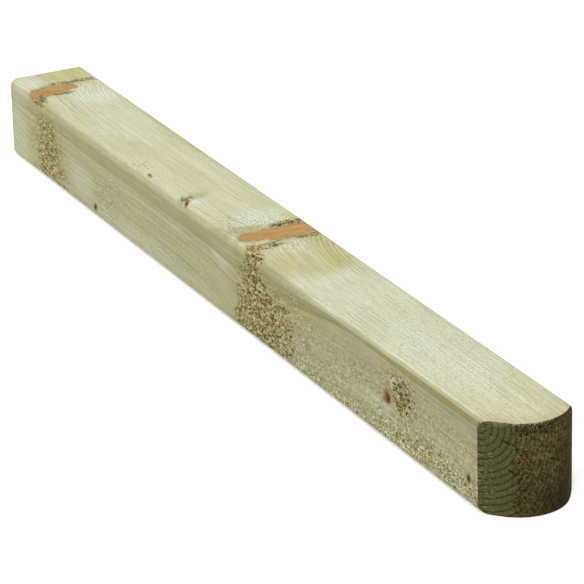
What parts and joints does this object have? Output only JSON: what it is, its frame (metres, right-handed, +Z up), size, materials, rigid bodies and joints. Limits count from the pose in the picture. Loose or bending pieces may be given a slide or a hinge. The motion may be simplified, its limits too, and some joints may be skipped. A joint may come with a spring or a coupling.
{
  "type": "timber post",
  "caption": "Planed square softwood post with rounded long edges, one end cut square and the other shaped to a round crown; for fences, gates and garden framing.",
  "frame": {"origin": "middle of the long face that the post lies on, halfway between the foot and the top of the crown", "axes": "+X along the post from the square-cut foot to the round-crowned head, +Y across it to the left when looking towards the head, +Z up"},
  "size_m": [0.9, 0.075, 0.075],
  "materials": {
    "treated_softwood": "planed, pale green pressure-treated softwood with knots, torn grain and dark end grain"
  },
  "bodies": {
    "root": {"post": "treated_softwood"}
  },
  "joints": []
}
